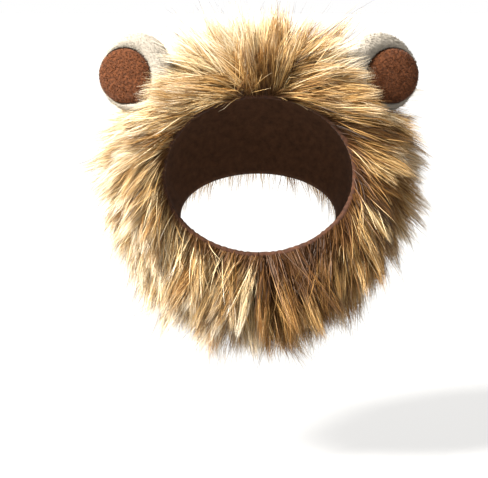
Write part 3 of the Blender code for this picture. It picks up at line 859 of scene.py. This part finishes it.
def make_hood():
    """Cloth hood with soft wrinkles and a raised seam along the crown."""
    rng = np.random.default_rng(HOOD_SEED)
    rows, columns = HOOD_GRID
    station = np.repeat(np.linspace(0, 1, rows), columns)
    share = np.tile(np.linspace(-1, 1, columns), rows)
    angle = share * (math.pi - edge_angle(CLOSED_SLIT, station))
    edge = np.clip(np.minimum(station, 1 - station) * 12, 0, 1) * np.clip((1 - np.abs(share)) * 30, 0, 1)
    wrinkle = WRINKLE * waves(rng, share * 3, station, WRINKLE_SIZE) * edge
    rolls = np.exp(-((share * 55 - 0.6) ** 2)) + np.exp(-((share * 55 + 0.6) ** 2))
    seam = SEAM_HEIGHT * rolls - SEAM_DEPTH * np.exp(-((share * 160) ** 2))
    shape = (rows, columns, 3)
    inner = hood_point(angle, station, np.minimum(wrinkle, WRINKLE_LIMIT) - seam * edge).reshape(shape)
    outer = hood_point(angle, station, CLOTH + np.minimum(wrinkle, 0.0)).reshape(shape)
    hood = thick_grid("hood_cloth", inner, outer)
    hood.data.materials.append(cloth_material("hood_cloth", *HOOD_COLOURS, 0.9))
    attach(hood, "root")
    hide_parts("hood_shell")


def make_binding():
    """Rolled hem along the face rim, with gathers and a row of stitches."""
    rng = np.random.default_rng(HEM_SEED)
    reach = math.pi - edge_angle(CLOSED_SLIT, 0.0)[0]
    angle = np.linspace(-reach, reach, HEM_STEPS)
    forward = BINDING_THICK / 2 + SEWN_GAP
    centre = hood_point(angle, 0.0, CLOTH / 2) + np.array((0, -forward, 0))
    away = unit(hood_point(angle, 0.0, 2 * CLOTH) - hood_point(angle, 0.0, 0.0))
    front = np.array((0.0, -1.0, 0.0))
    turn = np.linspace(0, math.tau, HEM_SIDES, endpoint=False)
    gather = 1 + HEM_GATHER * waves(rng, angle, angle * 0, 0.08)[:, None] * (1 + np.cos(turn + 2.0))[None]
    gather += HEM_STITCH * np.sin(angle[:, None] * HEM_STITCHES + 2 * np.sin(turn)[None])
    radius = BINDING_THICK / 2 * HEM_SLIM * gather
    rings = centre[:, None] + radius[..., None] * (
        away[:, None] * np.cos(turn)[None, :, None] + front * np.sin(turn)[None, :, None]
    )
    binding = ring_body("face_hem", list(rings), centre[0], centre[-1])
    binding.data.materials.append(cloth_material("face_hem", *HEM_COLOURS, 0.8))
    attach(binding, "root")
    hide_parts("face_binding")


def make_backing(side, name):
    """Dense dark pile that the strands grow from."""
    rng = np.random.default_rng(BACKING_SEED + side)
    rows, columns = BACKING_GRID
    column = np.tile(np.linspace(0, COLUMNS, columns), rows)
    row = np.repeat(np.linspace(0, ROWS, rows), columns)
    rough = BACKING_ROUGH * waves(rng, column, row, 1.1) * np.clip(np.minimum(row, ROWS - row), 0, 1)
    shape = (rows, columns, 3)
    inner = pile_point(side, column, row, 0.0).reshape(shape)
    outer = pile_point(side, column, row, BACKING_SHARE + rough).reshape(shape)
    backing = thick_grid(f"{name}_backing", inner, outer)
    backing.data.materials.append(fleece_material(f"{name}_backing", *BACKING_COLOURS, 0.95))
    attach(backing, "root")
    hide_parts(name)


def make_mane(side, name, fur):
    """One half of the mane: its backing and its bands of strands."""
    make_backing(side, name)
    rng = np.random.default_rng(MANE_SEED + side)
    tufts = grow_tufts(side, rng)
    bands = [
        grow_strands(f"{name}_{band}", side, tufts, first_row, last_row, count, rng)
        for band, first_row, last_row, count in BANDS
    ]
    bands.append(grow_rim(f"{name}_rim", side, tufts, rng))
    for strands in bands:
        strands.data.materials.append(fur)
        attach(strands, "root")
        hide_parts(name)


def outline_share(outline, turn):
    """Reads one of the ear's outlines at turns from the tip."""
    share = np.abs((turn + math.pi) % math.tau - math.pi) / math.pi
    return between([(radius,) for radius in outline], share)[:, 0]


def toward(turn):
    """Directions in the plane of the ear at turns from its tip."""
    return np.stack((np.sin(turn), np.cos(turn), 0 * turn), 1)


def cup_edge(side, turn):
    """Outline of the ear cup, drawn out toward the root and toward the crown."""
    stretch = 1 + (EAR_RISE / EAR_WIDTH - 1) * np.maximum(0.0, -np.cos(turn)) ** 2
    flap = 1 + FLAP_SHARE * np.maximum(0.0, -side * np.sin(turn)) ** 2
    reach = (outline_share(EAR_OUTLINE, turn) * flap * EAR_WIDTH / 2)[:, None]
    return toward(turn) * reach * np.stack((turn * 0 + 1, stretch, turn * 0 + 1), 1)


def fold_height(side, turn):
    """Height of the rolled fold at turns from the ear's tip, lowest on the outer side."""
    outer = np.maximum(0.0, side * np.sin(turn + side * 0.5))
    return EAR_FOLD * (FOLD_AT_TIP + (1 - FOLD_AT_TIP) * (0.5 - 0.5 * np.cos(turn))) * (1 - FOLD_LOSS * outer)


def pad_centre(side):
    """Middle of the ear pad."""
    return np.array((side * EAR_PAD_SHIFT, EAR_PAD_OFFSET, 0)) * EAR_WIDTH / 2


def pad_edge(side, turn, width_share):
    """Outline of the ear pad, squarer at its lower inner corner."""
    seen = toward(turn) @ np.array(ear_matrix(side))[:3, :3].T
    crownward, down = -side * seen[:, 0], -seen[:, 2]
    length = np.maximum(np.hypot(crownward, down), 1e-6)
    square = 2 + PAD_SQUARE * (0.5 + 0.5 * np.tanh(4 * crownward)) * (0.5 + 0.5 * np.tanh(4 * down))
    corner = ((np.abs(crownward) / length) ** square + (np.abs(down) / length) ** square) ** (-1 / square)
    reach = width_share * PAD_SHARE * corner * EAR_PAD_WIDTH / 2
    return pad_centre(side) + toward(turn) * reach[:, None]


def dish_ring(side, weights, lift=0.0):
    """One ring of the ear cup, lifted off it where the pad lies on it."""
    pad_share, cup_share, fold_share, depth_share = weights
    flat = pad_edge(side, EAR_TURNS, 1.0) * pad_share + cup_edge(side, EAR_TURNS) * cup_share
    flat = flat + pad_centre(side) * (1 - pad_share - cup_share)
    flat[:, 2] += fold_share * fold_height(side, EAR_TURNS) - depth_share * EAR_THICK + lift
    return flat


def ring_body(name, rings, first_pole, last_pole):
    """Closed body through rings of points, with a point at either end."""
    count = len(rings[0])
    points = np.concatenate(rings + [np.array([first_pole]), np.array([last_pole])])
    faces = []
    for ring in range(len(rings) - 1):
        for k in range(count):
            m = (k + 1) % count
            low, high = ring * count, (ring + 1) * count
            faces.append((low + k, low + m, high + m, high + k))
    top = (len(rings) - 1) * count
    for k in range(count):
        m = (k + 1) % count
        faces.append((len(rings) * count, m, k))
        faces.append((len(rings) * count + 1, top + k, top + m))
    return make_mesh(name, points, faces)


def plush(name, body, count, length, comb, material, rng, front_only=False):
    """Short fibres all over a body, leaning the way they are combed."""
    mesh = body.data
    mesh.calc_loop_triangles()
    corners = np.zeros(len(mesh.vertices) * 3)
    mesh.vertices.foreach_get("co", corners)
    corners = corners.reshape(-1, 3)
    triangles = np.zeros(len(mesh.loop_triangles) * 3, int)
    mesh.loop_triangles.foreach_get("vertices", triangles)
    a, b, c = corners[triangles.reshape(-1, 3)].transpose(1, 0, 2)
    normal = np.cross(b - a, c - a)
    area = np.linalg.norm(normal, axis=1)
    weight = area * (np.where(normal[:, 2] > -0.2 * area, 1.0, 0.25) if front_only else 1.0)
    chosen = rng.choice(len(area), count, p=weight / weight.sum())
    u, v = rng.uniform(0, 1, (2, count))
    flip = u + v > 1
    u, v = np.where(flip, 1 - u, u)[:, None], np.where(flip, 1 - v, v)[:, None]
    root = a[chosen] + (b - a)[chosen] * u + (c - a)[chosen] * v
    out = unit(normal[chosen])
    patch = 0.5 * waves(rng, root[:, 0], root[:, 1] + root[:, 2], PLUSH_PATCH)[:, None]
    lean = out + np.array(comb) * (1 + patch) + rng.normal(0, 0.22, (count, 3))
    reach = (length * rng.uniform(0.6, 1.1, count))[:, None]
    tip = root + unit(lean) * reach
    widths = PLUSH_WIDTH * rng.uniform(0.7, 1.3, count)
    mottle = 0.20 * waves(rng, root[:, 0], root[:, 1], PLUSH_MOTTLE)
    palette = np.clip(0.55 + mottle + rng.normal(0, 0.24, count), 0.02, 0.98)
    fibres = spikes(name, root - out * 0.0002, tip, widths, unit(rng.normal(0, 1, (count, 3))), palette)
    fibres.data.materials.append(material)
    fibres.matrix_world = body.matrix_world
    return fibres


def make_ear(side, name, cup_fibre, pad_fibre):
    """Padded plush cup folded forward round its pad, and the pad."""
    rng = np.random.default_rng(EAR_SEED + side)
    place = ear_matrix(side)
    centre = pad_centre(side)
    facing = np.array((0.0, 0.0, 1.0))
    rings = [dish_ring(side, weights) for weights in between(CUP_RINGS, np.linspace(0, 1, CUP_STEPS))]
    floor = centre - facing * CUP_RINGS[0][3] * EAR_THICK
    cup = ring_body(f"{name}_cup_plush", rings, floor, centre - facing * EAR_THICK)
    cup.matrix_world = place
    cup_pile = fleece_material(f"{name}_cup_plush", *CUP_COLOURS, 0.95, CUP_GRAIN, CUP_BUMP)
    cup.data.materials.append(cup_pile)
    low = [dish_ring(side, weights, SEWN_GAP) for weights in CUP_RINGS[:2]]
    high = []
    for width_share, height_share in between(PAD_RINGS, np.linspace(0, 1, PAD_STEPS)):
        high.append(pad_edge(side, EAR_TURNS, width_share) + facing * height_share * EAR_PAD_THICK)
    top = centre + facing * EAR_PAD_THICK
    pad = ring_body(f"{name}_pad_plush", low + high, floor + facing * SEWN_GAP, top)
    pad.matrix_world = place
    pad.data.materials.append(fleece_material(f"{name}_pad_plush", *PAD_COLOURS, 0.95, PAD_GRAIN))
    cup_fibres = plush(f"{name}_cup_fibres", cup, *CUP_FIBRES, cup_fibre, rng)
    pad_fibres = plush(f"{name}_pad_fibres", pad, *PAD_FIBRES, pad_fibre, rng, front_only=True)
    for body, fibres, node, slot, fill in (
        (cup, cup_fibres, f"{name}_cup", "ear_plush", CUP_FILL),
        (pad, pad_fibres, f"{name}_pad", "ear_pad_plush", PAD_FILL),
    ):
        for piece in (body, fibres):
            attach(piece, "root")
            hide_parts(node)


def dress_tab():
    """Hook-and-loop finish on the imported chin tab."""
    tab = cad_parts["chin_tab"]
    tab.data.materials.clear()
    tab.data.materials.append(fleece_material("chin_tab", *TAB_COLOURS, 0.9))


def make_floor():
    """Plain pale floor with a weak glow of its own, so that the shadow on it stays soft."""
    signs = ((-1, -1), (1, -1), (1, 1), (-1, 1))
    corners = [(x * FLOOR_SIZE, y * FLOOR_SIZE, -FLOOR_DROP) for x, y in signs]
    floor = make_mesh("floor", corners, [(0, 1, 2, 3)])
    material, _, _, shader = new_material("floor", 0.9)
    set_inputs(shader, {"Base Color": (FLOOR_SHADE, FLOOR_SHADE, FLOOR_SHADE, 1.0)})
    set_inputs(shader, {"Emission Color": WHITE, "Emission Strength": FLOOR_GLOW})
    floor.data.materials.append(material)


def add_light(name, place, softness, strength, colour):
    """Soft far light that shines from a place toward the origin."""
    light = bpy.data.lights.new(name, "SUN")
    light.angle = math.radians(softness)
    light.energy = strength
    light.color = colour
    obj = bpy.data.objects.new(name, light)
    obj.location = place
    obj.rotation_euler = (-Vector(place)).to_track_quat("-Z", "Y").to_euler()
    bpy.context.collection.objects.link(obj)


def light_studio():
    """White surroundings, a key light from the upper left, one from behind and a weak fill."""
    world = bpy.context.scene.world or bpy.data.worlds.new("studio")
    bpy.context.scene.world = world
    world.use_nodes = True
    nodes, links = world.node_tree.nodes, world.node_tree.links
    glow, backdrop = nodes["Background"], nodes.new("ShaderNodeBackground")
    set_inputs(glow, {"Color": WHITE, "Strength": SURROUNDINGS})
    set_inputs(backdrop, {"Color": WHITE})
    seen, both = nodes.new("ShaderNodeLightPath"), nodes.new("ShaderNodeMixShader")
    links.new(seen.outputs["Is Camera Ray"], both.inputs["Fac"])
    links.new(glow.outputs["Background"], both.inputs[1])
    links.new(backdrop.outputs["Background"], both.inputs[2])
    links.new(both.outputs["Shader"], nodes["World Output"].inputs["Surface"])
    for light in LIGHTS:
        add_light(*light)


def add_camera():
    """Camera at the photo's angle, with the face opening at its place in the frame."""
    camera = bpy.data.cameras.new("camera")
    camera.sensor_width = SENSOR
    camera.lens = camera.sensor_width * CAMERA_DISTANCE / (PHOTO_WIDTH * PIXEL)
    rise = math.radians(CAMERA_RISE)
    back = Vector((0, -math.cos(rise), math.sin(rise)))
    up = Vector((0, math.sin(rise), math.cos(rise)))
    opening = Vector((0, -FACE_REACH, -BROW_DROP - OPENING_HEIGHT / 2)) - Vector(crown_seat())
    right_shift = (OPENING_PIXEL[0] - PHOTO_WIDTH / 2) * PIXEL
    up_shift = (PHOTO_HEIGHT / 2 - OPENING_PIXEL[1]) * PIXEL
    aim = opening - Vector((1, 0, 0)) * right_shift - up * up_shift
    obj = bpy.data.objects.new("camera", camera)
    obj.location = aim + back * CAMERA_DISTANCE
    obj.rotation_euler = (-back).to_track_quat("-Z", "Y").to_euler()
    bpy.context.collection.objects.link(obj)
    bpy.context.scene.camera = obj


make_hood()
make_binding()
dress_tab()
fur = strand_material("mane_fur", FUR_ROOTS, FUR_MIDDLES, FUR_TIPS, 0.5)
make_mane(-1, "mane_left", fur)
make_mane(1, "mane_right", fur)
cream = strand_material("ear_fibre", *CREAM, 0.7)
chestnut = strand_material("ear_pad_fibre", *CHESTNUT, 0.7)
make_ear(-1, "ear_left", cream, chestnut)
make_ear(1, "ear_right", cream, chestnut)
make_floor()
light_studio()
bpy.context.scene.view_settings.view_transform = "Standard"
add_camera()
